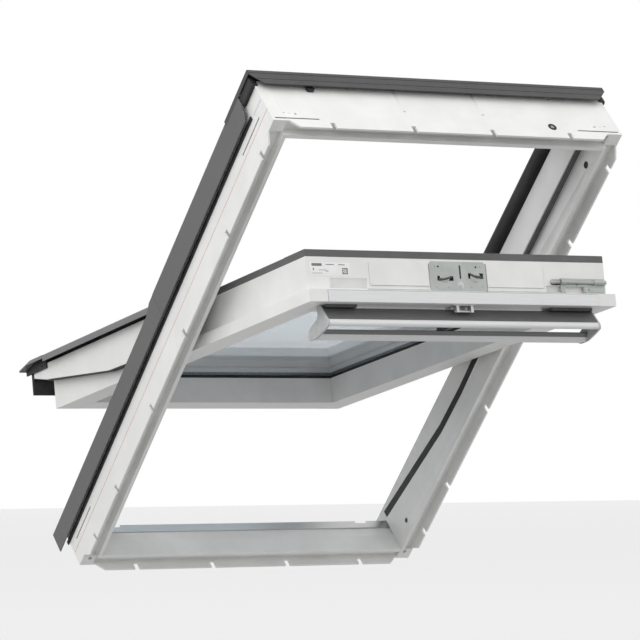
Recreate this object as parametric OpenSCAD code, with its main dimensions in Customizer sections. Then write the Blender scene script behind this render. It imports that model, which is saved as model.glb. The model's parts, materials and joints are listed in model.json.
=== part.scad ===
// Centre-pivot roof window with its frame, swung open on its two side pivots.
// Built upright in its own axes (x across, y outwards through the roof, z up the slope)
// and then leaned back to the roof pitch. Millimetres.

/* [Overall size] */
// outside width of the frame
frame_w = 780; // [550:10:1340]
// outside height of the frame, measured up the slope
frame_h = 1178; // [900:10:1600]
// depth of the frame body, from the room face to under the covers
frame_depth = 114; // [104:1:130]
// pitch of the roof it is fixed in, degrees
roof_pitch = 45; // [15:1:85]
// how far the sash is swung open where it is drawn, degrees
sash_open = 36; // [0:1:120]

/* [Frame profile] */
// height of the thin lip that holds the lining
lip_h = 17; // [8:1:22]
// width of the lining groove behind the lip
groove_w = 23.5; // [14:0.5:28]
// how far the inner strip stands out from the corner blocks
strip_h = 9; // [4:0.5:14]
// width of the frame seen from the room, edge to opening
frame_face = 35.5; // [32:0.5:42]

/* [Sash] */
// gap between the sash and the opening at each side
side_gap = 13.7; // [8:0.1:20]
// thickness of the sash rails under the glass
rail_depth = 54; // [44:1:60]
// width of the side rails, outer lip to glass
rail_w = 54.3; // [46:0.1:66]
// thickness of the sealed glass unit
glass_t = 24; // [20:1:28]
// how far the pivots stand outside the frame body
pivot_out = 20; // [16:1:26]

/* [Hardware] */
// how far the control bar hangs below the top rail
bar_drop = 58; // [44:1:70]
// stroke of the barrel bolt that holds the sash for cleaning
bolt_stroke = 34; // [26:1:38]
// thickness of the outside covers
sheet = 2; // [1:0.1:2.5]

/* [Hidden] */
$fn = 48;

body_white = [0.93, 0.93, 0.92];
cover_grey = [0.33, 0.34, 0.35];
rubber = [0.08, 0.08, 0.09];
steel = [0.72, 0.74, 0.73];
alloy = [0.82, 0.83, 0.82];
pane = [0.78, 0.87, 0.9, 0.45];

hw = frame_w/2;
D = frame_depth;
H = frame_h;
eps = 0.01;

// frame profile, measured in from the outer face
lip_t = 4;
n_groove = lip_t + groove_w;         // far side of the lining groove
n_low = n_groove + 1;                // rebate wall, lower half
n_up = frame_face + 16;              // rebate wall, upper half
n_top = 50;                          // rebate wall of the top member
floor_y = 8;                         // bottom of the lining groove
step_y = 48;                         // rebate step, upper half
cov_y = D;                           // covers start here

// pivots
pz = H/2 + 15;
py = D + pivot_out;
hz0 = pz - 59;                       // hinge zone, low end
hz1 = pz + 50;                       // hinge zone, high end

// sash, drawn closed
s_out = hw - frame_face - side_gap;  // room side lip
s_body = s_out - 8.3;                // upper half body
s_low = s_out + 16.7;                // lower half, outer lip
s_in = s_out - rail_w;               // glass opening
sy = 22;                             // room face of the sash
gy = sy + rail_depth + 6;            // room face of the glass
s_top = gy + glass_t + 5.5;          // sash body top
sz0 = frame_face + 7;                // bottom end
sz1 = H - frame_face - 6;            // top end
sb_z = sz1 - 19;                     // end face of the top rail
g_z0 = sz0 + 71;                     // glass opening, bottom
g_z1 = sz1 - 92;                     // glass opening, top
lap = 13.5;                          // glass edge behind the rail
cov_low = hw - 15;                   // outer edge of the lower sash covers
ct = s_top + 14;                     // top of the upper sash covers

// the slanting step where the lower half of the sash seats
function step_at(z) = z < 0.28*H ? 86 - (86 - 45)*z/(0.28*H) :
                      z < 0.3735*H ? 45 - 2*(z - 0.28*H)/(0.0935*H) :
                      43 + 4*(z - 0.3735*H)/(hz0 - 0.3735*H);
step_zs = [frame_face, 0.14*H, 0.28*H, 0.3735*H, hz0];

// polygon given as [y, z], drawn from x0 to x1
module ex(x0, x1, pts) translate([x0, 0, 0]) rotate([90, 0, 90]) linear_extrude(x1 - x0) polygon(pts);
module bx(x0, x1, y0, y1, z0, z1) translate([x0, y0, z0]) cube([x1 - x0, y1 - y0, z1 - z0]);
module rod_x(x0, x1, y, z, r) translate([x0, y, z]) rotate([0, 90, 0]) cylinder(h = x1 - x0, r = r);
module rod_z(x, y, z0, z1, r) translate([x, y, z0]) cylinder(h = z1 - z0, r = r);
module rod_y(x, y0, y1, z, r) translate([x, y0, z]) rotate([-90, 0, 0]) cylinder(h = y1 - y0, r = r);
module both() { children(); mirror([1, 0, 0]) children(); }

// ---------------------------------------------------------------- frame
module lip_profile(z0, z1) polygon([[0, z0], [-lip_h, z0 + lip_h], [-lip_h, z1 - lip_h], [0, z1]]);

module side_member() {
  difference() {
    union() {
      bx(hw - n_low, hw, 0, D, 0, H);
      translate([hw - lip_t, 0, 0]) rotate([90, 0, 90]) linear_extrude(lip_t) lip_profile(30, H - 30);
      // inner wall: strip and lower rebate step
      ex(hw - frame_face, hw - n_groove, concat(
        [[-strip_h, frame_face], [-strip_h, H - frame_face], [step_y, H - frame_face], [step_y, hz1],
         [47, hz1], [47, hz0]],
        [for (i = [3:-1:0]) [step_at(step_zs[i]), step_zs[i]]]));
      bx(hw - n_up, hw - n_low + 1, step_y, D, hz1, H - n_top);
    }
    bx(hw - n_groove, hw - lip_t, -1, floor_y, n_groove, H - n_groove);
    for (z = [H - 78, H - 273, H - 528, 0.382*H, 0.1935*H, 91])
      bx(hw - lip_t - 1, hw + 1, -lip_h - 1, -1.5, z - 5, z + 5);
    // bracket slots, panel joint line and the short upper line on the outer face
    bx(hw - 3, hw + 1, 46.5, 49.5, 28, 120);
    bx(hw - 3, hw + 1, 44.5, 47.5, H - 127, H - 33);
    bx(hw - 0.8, hw + 1, 33, 34, -1, H + 1);
    bx(hw - 0.8, hw + 1, 64.2, 65.2, H - 45, H - 5);
    // fixing holes through the inner wall and in the corner blocks
    rod_x(hw - frame_face - 1, hw - lip_t - 6, 15.5, H - 92, 6.5);
    rod_y(hw - 17, -1, 22, 19, 4);
    top_slots();
    end_holes();
  }
}
module top_slots() both() bx(hw - 101, hw - 6, 5.7, 8.7, H - 3, H + 1);
module end_holes() both() {
  rod_z(hw - 31, 23, H - 14, H + 1, 1.6);
  rod_z(hw - 33, 108, H - 6, H + 1, 2);
}
module bolt_hole() {
  rod_x(hw - frame_face - 1, hw - 7, bolt_y1, bolt_z1, 6);
  // room for the bolt where it lies when the sash is shut
  rod_x(hw - n_up - 1, s_body + bolt_stroke + 2, bolt_y0, bolt_z0, br + 1.2);
}

module frame_right_member() color(body_white) difference() { side_member(); bolt_hole(); }
module frame_left_member() color(body_white) mirror([1, 0, 0]) side_member();

module frame_top_member() color(body_white) difference() {
  union() {
    bx(-(hw - n_low), hw - n_low, 0, D, H - n_low, H);
    bx(-(hw - n_low), hw - n_low, -strip_h, step_y, H - frame_face, H - n_groove);
    bx(-(hw - n_low), hw - n_low, step_y, D, H - n_top, H - n_low + 1);
    translate([0, 0, H - lip_t]) linear_extrude(lip_t)
      polygon([[-(hw - 35), 0], [-(hw - 35 - lip_h), -lip_h], [hw - 35 - lip_h, -lip_h], [hw - 35, 0]]);
  }
  bx(-(hw - 30), hw - 30, -1, floor_y, H - n_groove, H - lip_t);
  for (x = [-265, -88, 88, 265]*frame_w/780) bx(x - 5, x + 5, -lip_h - 1, -1.5, H - lip_t - 1, H + 1);
  for (x = [-88, 88]*frame_w/780) bx(x - 4, x + 4, 40, D + 1, H - 0.8, H + 1);
  top_slots();
  end_holes();
  for (x = [-1, 1]) rod_z(x*(hw - 55), 20.5, H - 18, H + 1, 2.6);
  for (x = [-1, 1]) bx(x*(hw - 124.5) - 4.5, x*(hw - 124.5) + 4.5, 99, 104, H - 9, H + 1);
  // pocket for the strike plate
  bx(-66, 66, 58, 100, H - n_top - 1, H - n_top + 8);
}

module frame_bottom_member() color(body_white) difference() {
  union() {
    ex(-(hw - n_low), hw - n_low, [[0, 0], [0, n_groove], [-strip_h, n_groove], [-strip_h, frame_face],
       [33, frame_face], [62, 28.5], [72, 28.5], [72, 0]]);
    translate([0, 0, 0]) linear_extrude(lip_t)
      polygon([[-(hw - 35), 0], [-(hw - 35 - lip_h), -lip_h], [hw - 35 - lip_h, -lip_h], [hw - 35, 0]]);
  }
  bx(-(hw - 30), hw - 30, -1, floor_y, lip_t, n_groove);
  for (x = [-265, -88, 88, 265]*frame_w/780) bx(x - 5, x + 5, -lip_h - 1, -1.5, -1, lip_t + 1);
}

// seals
module gasket_upper() difference() {
  bx(hw - n_up + 1.5, hw - frame_face - 1.5, 46.3, step_y, hz1 + 2, H - n_top - 0.5);
  for (i = [0:2]) bx(hw - n_up + 3.5 + 4*i, hw - n_up + 5.5 + 4*i, 46, 47.2, hz1, H);
}
module frame_gasket_upper_right() color(rubber) gasket_upper();
module frame_gasket_upper_left() color(rubber) mirror([1, 0, 0]) gasket_upper();
module frame_gasket_top() color(rubber) difference() {
  bx(-(hw - frame_face - 1.5), hw - frame_face - 1.5, 46.3, step_y, H - n_top + 0.5, H - frame_face - 2);
  for (i = [0:1]) bx(-hw, hw, 46, 47.2, H - n_top + 3 + 4*i, H - n_top + 5 + 4*i);
}
module gasket_lower() ex(hw - n_low - 3, hw - n_low, concat(
  [for (i = [0:4]) [step_at(step_zs[i]) + 1, step_zs[i] + (i == 0 ? 2 : 0)]],
  [for (i = [4:-1:0]) [min(step_at(step_zs[i]) + 21, D - 3), step_zs[i] + (i == 0 ? 2 : 0)]]));
module frame_gasket_lower_right() color(rubber) gasket_lower();
module frame_gasket_lower_left() color(rubber) mirror([1, 0, 0]) gasket_lower();
module frame_gasket_bottom() color(rubber)
  ex(-(hw - n_low - 3), hw - n_low - 3, [[74, 8], [85, 8], [85.5, 12], [80, 14], [83.5, 17], [83, 20],
    [74, 20]]);
module edge_strip() bx(hw, hw + 2.5, 62.5, 71, -5, H - 51);
module frame_edge_strip_right() color(rubber) edge_strip();
module frame_edge_strip_left() color(rubber) mirror([1, 0, 0]) edge_strip();

// frame covers
ov = 10;                             // covers stand this far outside the frame
crown = D + 18;                      // highest line of the frame covers
cap_gap = 0.3;
arm_h = 11;                          // height of the top cover's side arms
arm_z = H - 116;                     // and where they end
module cover_upper() {
  zt = H - 48;
  difference() {
    union() {
      translate([0, 0, hz1 - 28]) linear_extrude(zt - hz1 + 28) polygon([
        [hw + ov, 68.5], [hw + ov, 127], [hw - 46, crown], [hw - 75, crown], [hw - 77, crown - 2],
        [hw - 77, 128], [hw - 75, 128], [hw - 75, crown - sheet], [hw - 46, crown - sheet],
        [hw + ov - sheet, 127 - sheet], [hw + ov - sheet, 68.5]]);
      // standing leg onto the frame body
      bx(hw - 24, hw - 22, cov_y, crown - 3, hz1 - 28, zt);
      bx(hw - 27, hw - 22, cov_y, cov_y + 1.5, hz1 - 28, zt);
    }
    // room for the hinge plates beside the pivot
    bx(hw - 80, hw - n_low + cap_gap, crown - 6, crown + 1, hz1 - 29, pz + 29);
    // room for the arm of the top cover
    bx(hw + ov - sheet - cap_gap, hw + ov + 1, crown - arm_h - cap_gap, crown + 10, arm_z - cap_gap, zt + 1);
    // rounded shoulder near the top corner
    translate([hw - 20, 60, zt - 2]) rotate([0, 90, 0]) difference() {
      translate([-1, -60, -5]) cube([60, 102, 60]);
      translate([60, 44, -6]) cylinder(h = 62, r = 60);
      translate([-2, 44, -6]) cube([62, 80, 62]);
    }
  }
}
module frame_cover_upper_right() color(cover_grey) cover_upper();
module frame_cover_upper_left() color(cover_grey) mirror([1, 0, 0]) cover_upper();
module cover_lower() {
  translate([0, 0, -30]) linear_extrude(hz0 + 64) polygon([
    [hw + ov, 68.5], [hw + ov, D + sheet], [hw - n_low + 1, D + sheet], [hw - n_low + 1, D],
    [hw + ov - sheet, D], [hw + ov - sheet, 68.5]]);
  // outer edge carried on past the pivot cap
  ex(hw + ov - sheet, hw + ov, [[68.5, hz0 + 34 - eps], [68.5, hz1 - 28 - cap_gap], [126, hz1 - 28 - cap_gap],
    [126, hz0 + 60], [D + sheet, hz0 + 34 - eps]]);
}
module frame_cover_lower_right() color(cover_grey) cover_lower();
module frame_cover_lower_left() color(cover_grey) mirror([1, 0, 0]) cover_lower();
module frame_cover_top() color(cover_grey) difference() {
  union() {
    bx(-(hw + ov), hw + ov, crown - sheet, crown, H - 48 + cap_gap, H + 13);
    translate([0, 0, H + 13 - sheet]) linear_extrude(sheet) polygon([
      [-(hw + ov), crown], [-(hw + ov), 118], [-(hw - 14), 92], [hw - 14, 92], [hw + ov, 118],
      [hw + ov, crown]]);
    bx(-(hw - 20), hw - 20, cov_y, crown, H - 47, H - 45);
    both() bx(hw + ov - sheet, hw + ov, crown - arm_h, crown, arm_z, H + 13);
  }
  // rounded front edge and two shallow grooves on the front face
  ex(-hw - 20, hw + 20, [[crown - 3, H + 14], [crown + 1, H + 14], [crown + 1, H + 10]]);
  bx(-hw - 20, hw + 20, 105, 106.5, H + 12.3, H + 14);
  bx(-hw - 20, hw + 20, 121, 122.5, H + 12.3, H + 14);
}
module frame_cover_bottom() color(cover_grey) difference() {
  ex(-(hw - n_low - 3), hw - n_low - 3, [[62, 28.5], [72, 28.5], [72, -18], [74, -18], [74, 28.5], [82, 28.5],
    [82, 31], [62, 31]]);
  both() bx(280, 307, 76, 83, 27, 32);
}

// pivots
module hinge_frame() {
  difference() {
    union() {
      bx(hw - n_low - 4, hw - n_low, 66, py - 8, pz - 44, pz + 30);
      rod_x(hw - n_low - 4, hw - n_low, py, pz, 16);
      ex(hw - n_low - 4, hw - n_low, [[py - 10, pz - 40], [py + 4, pz - 15.2], [py + 4, pz + 15.2],
         [py - 10, pz + 29]]);
      rod_x(s_out + 4.4, hw - n_low - 4 + eps, py, pz, 13);
      rod_x(s_out + 0.4, s_out + 5, py, pz, 6);
    }
  }
  for (p = [[78, pz - 34], [78, pz + 20], [102, pz - 34]])
    rod_x(hw - n_low - 6.2, hw - n_low - 3, p[0], p[1], 4.2);
}
module hinge_frame_right() color(steel) hinge_frame();
module hinge_frame_left() color(steel) mirror([1, 0, 0]) hinge_frame();
cap_w = 10.5;                        // width of the pivot cap's hump
module hinge_cap() {
  difference() {
    union() {
      rod_x(hw - n_low + 0.6, hw - n_low + cap_w, py, pz, 19);
      bx(hw - n_low + 0.6, hw - n_low + cap_w, D, py, pz - 19, pz + 19);
    }
    rod_x(hw - n_low - 1, hw - n_low + cap_w - sheet, py, pz, 17);
    bx(hw - n_low - 1, hw - n_low + cap_w - sheet, D - 1, py, pz - 17, pz + 17);
  }
  // flat wing out to the edge of the side covers
  bx(hw - n_low + cap_w - eps, hw + ov - sheet - cap_gap, D, D + sheet,
    hz0 + 34 + cap_gap, hz1 - 28 - cap_gap);
}
module hinge_cap_right() color(cover_grey) hinge_cap();
module hinge_cap_left() color(cover_grey) mirror([1, 0, 0]) hinge_cap();

// catch for the latch hooks and socket for the bolt
module strike_plate() color(steel) difference() {
  union() {
    bx(-65, 65, 59, 99, H - n_top + 6, H - n_top + 8);
    for (x = [-34, 34]) bx(x - 15, x + 15, 62, 65, H - n_top - 2.5, H - n_top + 6 + eps);
  }
  for (x = [-55, 55]) rod_z(x, 79, H - n_top, H, 2.2);
}
module bolt_socket() color(steel) difference() {
  rod_x(hw - frame_face - 0.6, hw - 8, bolt_y1, bolt_z1, 6);
  rod_x(hw - frame_face - 2, hw - 9.5, bolt_y1, bolt_z1, 4.6);
}

// ---------------------------------------------------------------- sash, drawn closed
zz0 = pz - 54;                       // plain part of the side rail around the pivots
zz1 = pz + 46;
clear = 2.8;                         // sash underside over the slanting step
module side_rail() difference() {
  union() {
    bx(s_in, s_body, sy, s_top, sz0, sb_z);
    bx(s_body - 1, s_out, sy, sy + 24, zz1, sz1);
    bx(s_in, s_body, sy, sy + 24, sb_z - 1, sz1);
    // lower half: room side lip up to the slanting step, outer lip beyond it
    ex(s_body - 1, s_out, concat([[sy, sz0], [sy, zz0]],
      [for (i = [4:-1:0]) [step_at(step_zs[i]) + clear + 1, i == 0 ? sz0 : min(step_zs[i], zz0)]]));
    ex(s_body - 1, s_low, concat(
      [for (i = [0:4]) [step_at(step_zs[i]) + clear, i == 0 ? sz0 : min(step_zs[i], zz0)]],
      [[s_top, zz0], [s_top, sz0]]));
    bx(s_body - 1, s_out, sy, s_top, zz0 - 1, zz1);
    // rim of the outer lip under the lower covers
    bx(s_low - 12, s_low, s_top - 1, s_top + 6, sz0, zz0);
  }
  // glass rebate
  bx(s_in - 1, s_in + lap + 2.5, gy - 6, s_top + 1, g_z0 - lap - 2.5, g_z1 + lap + 2.5);
  difference() {
    flap_room();
    rod_x(fl_w - 10, fl_w + 2, fy, fz, 0.95);
  }
}
module sash_right_rail() color(body_white) side_rail();
module sash_left_rail() color(body_white) mirror([1, 0, 0]) side_rail();

fl_w = s_in + 14.5;                  // half width of the vent flap
fl_z0 = g_z1 + 16;
module sash_top_rail() color(body_white) difference() {
  union() {
    bx(-s_in, s_in, sy, s_top, g_z1, sb_z);
    bx(-s_in, s_in, sy, sy + 24, sb_z - 1, sz1);
  }
  bx(-s_in - 1, s_in + 1, gy - 6, s_top + 1, g_z1 - 1, g_z1 + lap + 2.5);
  flap_room();
  // recess in the end face left of the lock, and the pocket behind the lock
  ex(-283, -203, [[52, sb_z + 1], [71, sb_z + 1], [71, sb_z - 1], [52, sb_z - 8]]);
  bx(-62, 62, 50, 104, sb_z - 26, sb_z + 1);
  bx(196, s_in + 1, 50, 64, sb_z - 6, sb_z + 1);
}
module flap_room() bx(-fl_w - 0.6, fl_w + 0.6, sy - 1, sy + 22.6, fl_z0 - 1, sz1 + 2);
module sash_bottom_rail() color(body_white) difference() {
  union() {
    bx(-s_in, s_in, sy, s_top, sz0, g_z0);
    ex(-s_low, s_low, [[81 + clear, sz0], [94 + clear, sz0 - 59], [106, sz0 - 59], [s_top, sz0 - 52],
      [s_top, sz0]]);
  }
  bx(-s_in - 1, s_in + 1, gy - 6, s_top + 1, g_z0 - lap - 2.5, g_z0 + 1);
}

// sealed glass unit
module g_sheet(y0, y1) bx(-(s_in + lap), s_in + lap, y0, y1, g_z0 - lap, g_z1 + lap);
module glass_inner() color(pane) g_sheet(gy, gy + 4);
module glass_outer() color(pane) g_sheet(gy + glass_t - 4, gy + glass_t);
module glass_spacer() color(alloy) difference() {
  bx(-(s_in + lap - 2), s_in + lap - 2, gy + 4, gy + glass_t - 4, g_z0 - lap + 2, g_z1 + lap - 2);
  bx(-(s_in + 1), s_in + 1, gy + 3, gy + glass_t, g_z0 - 1, g_z1 + 1);
}
module glass_gasket() color(rubber) difference() {
  bx(-(s_in + lap + 2.5), s_in + lap + 2.5, gy - 6, gy, g_z0 - lap - 2.5, g_z1 + lap + 2.5);
  bx(-(s_in + 1.5), s_in + 1.5, gy - 7, gy + 1, g_z0 - 1.5, g_z1 + 1.5);
}

// sash covers
module s_cover_up() translate([0, 0, zz1 + 4]) linear_extrude(g_z1 - 6.3 - zz1 - 4) polygon([
  [s_body, s_top], [s_body, ct - 1], [s_body - 1, ct], [s_in + 4, ct], [s_in - 6, gy + glass_t + 1],
  [s_in - 6, gy + glass_t], [s_in - 3, gy + glass_t], [s_in + 5, ct - sheet], [s_body - sheet, ct - sheet],
  [s_body - sheet, s_top]]);
module sash_cover_upper_right() color(cover_grey) s_cover_up();
module sash_cover_upper_left() color(cover_grey) mirror([1, 0, 0]) s_cover_up();
// lip of a cover turned down onto the glass, from the plate at y1, drawn for the top edge
module glass_lip(y1) ex(-(s_in + 4), s_in + 4, [
  [y1, g_z1 + 5], [gy + glass_t + 1, g_z1 - 6], [gy + glass_t, g_z1 - 6], [gy + glass_t, g_z1 - 3],
  [y1 - sheet, g_z1 + 6], [y1, g_z1 + 6]]);
module sash_cover_top() color(cover_grey) {
  ex(-s_body, s_body, [[s_top, sb_z], [ct - 1, sb_z], [ct, sb_z - 1], [ct, g_z1 + 5], [ct - sheet, g_z1 + 5],
    [ct - sheet, sb_z - sheet], [s_top, sb_z - sheet]]);
  both() bx(s_in + 4 - eps, s_body, ct - sheet, ct, g_z1 - 6, g_z1 + 5 + eps);
  both() bx(s_body - sheet, s_body, s_top, ct - 1, g_z1 - 6, sb_z);
  glass_lip(ct);
}
cl = ct + 6.5;                       // top of the lower covers
seam = sz0 + 22;                     // joint between the bottom cover and the lower side covers
cov_end = zz0 + 22;                  // upper end of the lower side covers
module s_cover_low() {
  translate([0, 0, seam + 0.3]) linear_extrude(cov_end - seam - 0.3) polygon([
    [cov_low, D + 4.5], [cov_low, cl - 1.5], [cov_low - 2, cl], [s_in + 4.2, cl], [s_in + 4.2, cl - sheet],
    [cov_low - sheet, cl - sheet], [cov_low - sheet, D + 4.5]]);
  translate([0, 0, g_z0 + 6.3]) linear_extrude(cov_end - g_z0 - 6.3) polygon([
    [s_in + 4.3, cl], [s_in - 6, gy + glass_t + 1], [s_in - 6, gy + glass_t], [s_in - 3, gy + glass_t],
    [s_in + 4.3, cl - sheet]]);
  // leg standing on the rail
  bx(s_body - 10, s_body - 8, s_top, cl - 1, seam + 0.3, cov_end);
}
module sash_cover_lower_right() color(cover_grey) s_cover_low();
module sash_cover_lower_left() color(cover_grey) mirror([1, 0, 0]) s_cover_low();
cb = sz0 - 94;                       // nose of the bottom cover
module sash_cover_bottom() color(cover_grey) {
  ex(-cov_low, cov_low, [[cl, seam], [cl, sz0 - 38], [cl - 12, cb + 1], [cl - 14, cb], [cl - 16, cb + 1],
    [cl - 15.5, cb + 5.5], [cl - 13.7, cb + 6], [cl - sheet, sz0 - 38.3], [cl - sheet, seam]]);
  ex(-(s_in + 4), s_in + 4, [[cl, seam - eps], [cl, g_z0 - 5], [gy + glass_t + 1, g_z0 + 6],
    [gy + glass_t, g_z0 + 6], [gy + glass_t, g_z0 + 3], [cl - sheet, g_z0 - 6], [cl - sheet, seam - eps]]);
  // turned-down ends and the legs on the rail
  both() ex(cov_low - sheet, cov_low, [[cl - 7.2, cb + 25.5], [cl - 7.2, seam], [cl - 1, seam],
    [cl - 1, sz0 - 38.1], [cl - 7, cb + 26.5]]);
  bx(-s_low, s_low, s_top, cl - 1, sz0 - 8, sz0 - 6);
}
module sash_skirt() color(rubber) ex(-s_low, s_low, [[63, cb + 24], [cl - 9.6, cb + 24],
  [cl - 8.5, cb + 29], [106, cb + 29], [106, cb + 35], [94, cb + 35], [94, cb + 29], [63, cb + 29]]);
module cover_end() difference() {
  ex(s_low + 0.3, s_low + 3.7, [[107, cb + 7], [cl - 14.2, cb + 7], [cl - sheet - 0.2, sz0 - 38.5],
    [cl - sheet - 0.2, sz0 - 1.5], [cl - 8.8, sz0 - 1.5], [cl - 8.8, sz0 + 10], [107, sz0 + 10]]);
  rod_x(s_low - 1, s_low + 5, 114, sz0 - 10, 2.2);
}
module sash_cover_end_right() color(rubber) cover_end();
module sash_cover_end_left() color(rubber) mirror([1, 0, 0]) cover_end();

// pivot plates on the sash
module hinge_sash() {
  difference() {
    union() {
      bx(s_out, s_out + 4, 62, py - 6, pz - 44, pz + 40);
      rod_x(s_out, s_out + 4, py, pz, 13);
      ex(s_out, s_out + 4, [[py - 8, pz - 30], [py + 5, pz - 12], [py + 5, pz + 12], [py - 8, pz + 34]]);
    }
    rod_x(s_out - 1, s_out + 5, py, pz, 6.06);
  }
  for (p = [[76, pz - 34], [76, pz + 30], [100, pz + 30], [100, pz - 34]])
    rod_x(s_out + 3.9, s_out + 5.4, p[0], p[1], 3.6);
}
module hinge_sash_right() color(steel) hinge_sash();
module hinge_sash_left() color(steel) mirror([1, 0, 0]) hinge_sash();

// end face of the top rail
module panel(x0, x1) difference() {
  bx(x0, x1, 59, 104, sb_z, sb_z + 1.6);
  rod_z(x0 + 3, 62, sb_z - 1, sb_z + 3, 0.8);
}
module vent_panel_left() color(body_white) panel(-197, -68);
module vent_panel_right() color(body_white) panel(62, 190);
hook_l = [-49, -14, 70, 78.5];       // x and depth taken by each latch hook
hook_r = [20, 53, 75, 85];
module lock_case() color(steel) {
  difference() {
    union() {
      bx(-61, 61, 51, 103, sb_z - 25, sb_z);
      difference() {
        bx(-66, 60, 48, 107, sb_z, sb_z + 2);
        for (x = [-66, 60], y = [48, 107])
          translate([x, y, sb_z - 1]) rotate([0, 0, 45]) translate([-3.5, -3.5, 0]) cube([7, 7, 10]);
      }
    }
    bx(0.5, 3.5, 74, 100, sb_z - 12, sb_z + 3);
    rod_z(1, 61, sb_z - 8, sb_z + 3, 6);
    for (h = [hook_l, hook_r]) bx(h[0] - 0.3, h[1] + 0.3, h[2] - 0.3, h[3] + 0.3, sb_z - 24, sb_z + 3);
    for (x = [-46, 38]) rod_z(x, 97, sb_z - 6, sb_z + 3, 2);
  }
  rod_z(1, 61, sb_z - 9, sb_z + 2.6, 4.4);
}
bolt_y0 = 71;                        // bolt axis, sash closed
bolt_z0 = sb_z + 4.9;
// where that axis lands in the frame when the sash is turned for cleaning
clean = 160.4;
bdy = bolt_y0 - py;
bdz = bolt_z0 - pz;
bolt_z1 = pz + bdz*cos(clean) + bdy*sin(clean);
bolt_y1 = py - bdz*sin(clean) + bdy*cos(clean);
br = 3.5;                            // bolt radius
knob_r = 4.1;                        // its knob slides through the strap
strap_r = knob_r + 0.8;
module bolt_body() color(steel) difference() {
  union() {
    bx(228, s_body - 3, 63, 79, sb_z, sb_z + 1.5);
    bx(228, 238, 49, 79, sb_z, sb_z + 1.5);
    for (h = [[226, 240, strap_r], [s_body - 30, s_body - 3, br + 1.3]]) {
      rod_x(h[0], h[1], bolt_y0, bolt_z0, h[2]);
      bx(h[0], h[1], bolt_y0 - h[2], bolt_y0 + h[2], sb_z, bolt_z0);
    }
    bx(281, s_body - 3, 51, 63, sb_z, sb_z + 1);
  }
  rod_x(220, s_body + 5, bolt_y0, bolt_z0, br + 0.05);
  rod_x(220, 214 + bolt_stroke + 2, bolt_y0, bolt_z0, knob_r + 0.3);
  rod_z(233, 54, sb_z - 1, sb_z + 3, 1.8);
}

// ---------------------------------------------------------------- vent flap and control bar
fy = sy + 2;                         // hinge line of the flap
fz = fl_z0 + 2;
module vent_flap() color(alloy) difference() {
  union() {
    bx(-fl_w, fl_w, sy, sy + 22, fl_z0, sz1 + 1);
  }
  bx(-fl_w + 3, fl_w - 3, sy + 2, sy + 23, fl_z0 + 6, sz1 - 4);
  both() rod_x(fl_w - 12, fl_w + 1, fy, fz, 1);
}
b_w = fl_w + 3;                      // half length of the control bar
z_b = sz1 - 34;                      // where its wing meets the flap
slot = 6;                            // open slot between the bar's leg and the flap
module control_bar() color(alloy) ex(-b_w + 4, b_w - 4, [
  [sy - slot, z_b - 5], [sy - slot, z_b + 4.8], [-9, z_b + 25], [-15, z_b + 28], [-20, z_b + 27],
  [-22, z_b + 23], [-20, z_b + 20], [-14, z_b + 21], [-10, z_b + 19], [sy - slot - 2, z_b - 2.4],
  [sy - slot - 2, z_b - 5]]);
gb = sy - bar_drop;                  // lowest edge of the grip
module control_bar_grip() color(alloy) ex(-b_w + 4, b_w - 4, [
  [gb + 15, z_b - 46], [gb + 15, z_b - 43], [gb + 4, z_b - 40], [gb + 3, z_b - 26], [gb + 15, z_b - 16],
  [gb + 14, z_b - 13], [gb, z_b - 24], [gb, z_b - 42], [gb + 3, z_b - 46]]);
module cap_profile() polygon([[sy - 0.1, z_b - 8], [sy - 0.1, z_b + 1], [-9, z_b + 26], [-15, z_b + 29],
  [-21, z_b + 28], [gb + 6, z_b + 5], [gb - 1, z_b - 20], [gb - 1, z_b - 44], [gb + 4, z_b - 48],
  [gb + 15, z_b - 48], [-9, z_b - 32], [-3, z_b - 12], [6, z_b - 8]]);
module bar_cap() translate([b_w - 4, 0, 0]) rotate([90, 0, 90]) linear_extrude(4) cap_profile();
module control_bar_cap_right() color([0.62, 0.63, 0.63]) bar_cap();
module control_bar_cap_left() color([0.62, 0.63, 0.63]) mirror([1, 0, 0]) bar_cap();
module control_bar_web() color([0.3, 0.31, 0.31]) ex(-30, -25, [
  [sy - slot - 2, z_b - 5], [sy - slot - 2, z_b - 2.4], [-10, z_b + 19], [-14, z_b + 21], [-20, z_b + 20],
  [gb + 14, z_b - 13], [gb + 15, z_b - 16], [gb + 3, z_b - 26], [gb + 4, z_b - 40], [gb + 15, z_b - 43],
  [-9, z_b - 32], [-3, z_b - 12], [6, z_b - 8]]);
module bar_foot(len) bx(fl_w - 4 - len, fl_w - 4, sy - slot, sy, z_b - 20, z_b + 15);
module bar_foot_right() color([0.3, 0.31, 0.31]) bar_foot(95);
module bar_foot_left() color([0.3, 0.31, 0.31]) mirror([1, 0, 0]) bar_foot(67);
module flap_link() color(alloy) {
  bx(-25, 25, sy - slot, sy, z_b - 5, z_b + 4);
  bx(-25, 25, sy - 2, sy, z_b + 4 - eps, z_b + 26);
  for (x = [-19, 13]) bx(x, x + 6, 7, sy, z_b + 13, z_b + 26);
  rod_x(-21, 21, 10, z_b + 20, 2.5);
}

// latch hooks and bolt
module hook(h) translate([0, h[3], sb_z]) rotate([90, 0, 0]) linear_extrude(h[3] - h[2]) polygon([
  [h[0], -17], [h[0], 2.5], [h[0] + 5, 6], [h[0] + 19, 6], [h[0] + 20, 3.6], [h[1] - 8, 3.6],
  [h[1] - 7, 1.2], [h[1], 1.2], [h[1], -17]]);
module latch_hook_left() color([0.25, 0.26, 0.26]) hook(hook_l);
module latch_hook_right() color([0.25, 0.26, 0.26]) hook(hook_r);
module bolt_rod() color(steel) {
  rod_x(208, s_body - 1, bolt_y0, bolt_z0, br);
  rod_x(204, 214, bolt_y0, bolt_z0, knob_r);
}

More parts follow.
